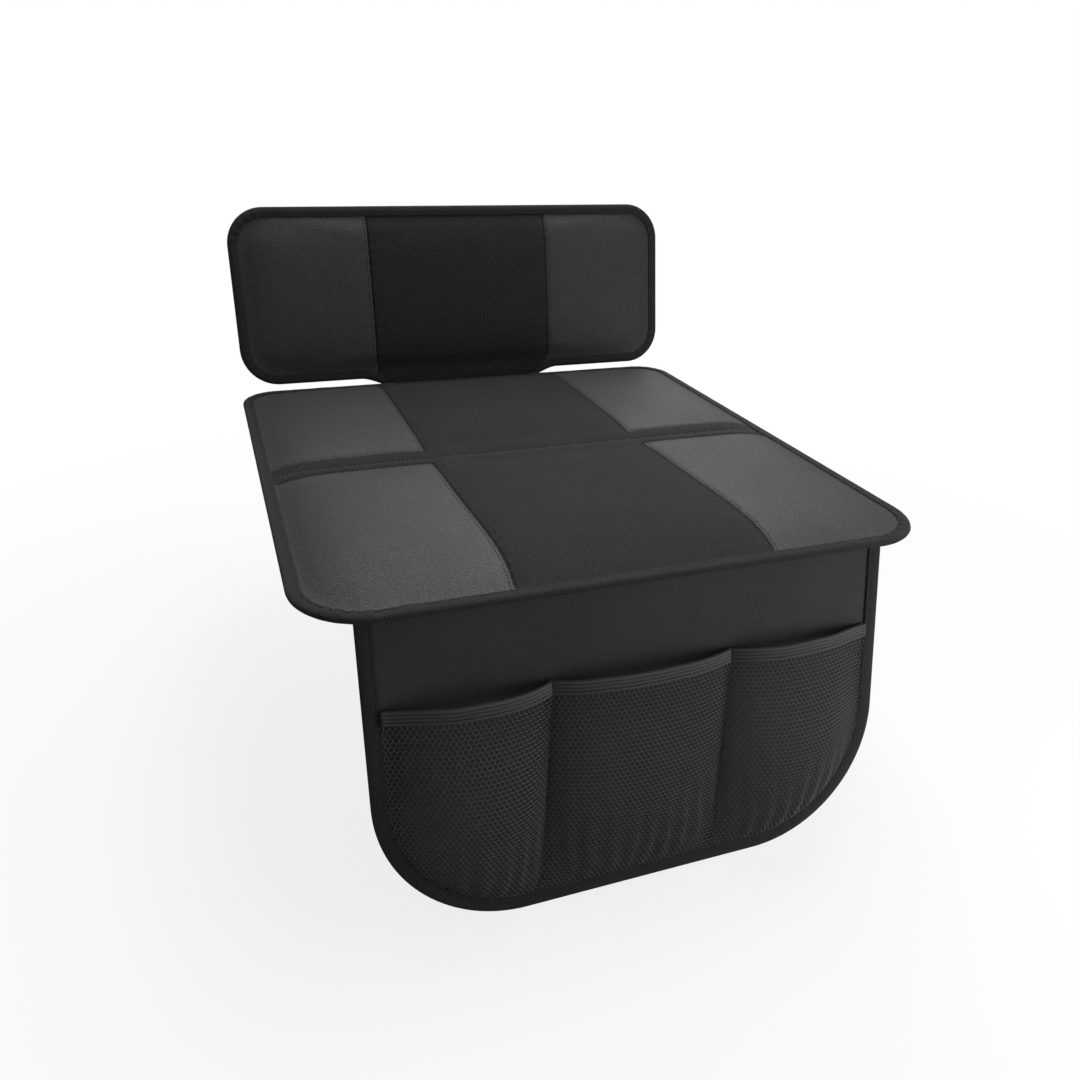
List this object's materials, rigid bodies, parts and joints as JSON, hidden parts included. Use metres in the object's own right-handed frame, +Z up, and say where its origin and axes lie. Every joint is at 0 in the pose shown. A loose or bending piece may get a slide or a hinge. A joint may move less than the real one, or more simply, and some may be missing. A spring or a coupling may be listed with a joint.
{
  "type": "car seat protector",
  "caption": "Padded car seat protector with a low padded back and a hanging skirt with net pockets, as laid on a seat.",
  "frame": {"origin": "middle of the seat pad's underside", "axes": "+X to the sitter's left as seen from the front, across the seat; +Y from the front edge towards the back pad; +Z up, out of the seat pad's top"},
  "size_m": [0.462, 0.5534, 0.402],
  "materials": {
    "grained_leatherette": "matte, fine pebble grain",
    "middle_fabric": "fine plain weave, matte",
    "binding_tape": "woven twill tape, matte",
    "lining_cloth": "plain woven lining, matte",
    "foam": "soft open-cell foam",
    "skirt_twill": "heavy twill, matte",
    "pocket_net": "knitted net of six-sided gaps",
    "pocket_elastic": "ribbed elastic tape"
  },
  "bodies": {
    "root": {"back_foam": "foam", "back_lining": "lining_cloth", "back_left_panel": "grained_leatherette", "back_middle_panel": "middle_fabric", "back_right_panel": "grained_leatherette", "back_binding": "binding_tape", "hinge_strip": "middle_fabric", "rear_foam": "foam", "front_foam": "foam", "seat_lining": "lining_cloth", "rear_left_panel": "grained_leatherette", "rear_right_panel": "grained_leatherette", "front_left_panel": "grained_leatherette", "front_right_panel": "grained_leatherette", "seat_middle_panel": "middle_fabric", "seat_binding": "binding_tape", "skirt_panel": "skirt_twill", "skirt_binding": "binding_tape", "pocket_net_left": "pocket_net", "pocket_net_middle": "pocket_net", "pocket_net_right": "pocket_net", "pocket_tape_left": "pocket_elastic", "pocket_tape_middle": "pocket_elastic", "pocket_tape_right": "pocket_elastic"}
  },
  "joints": []
}
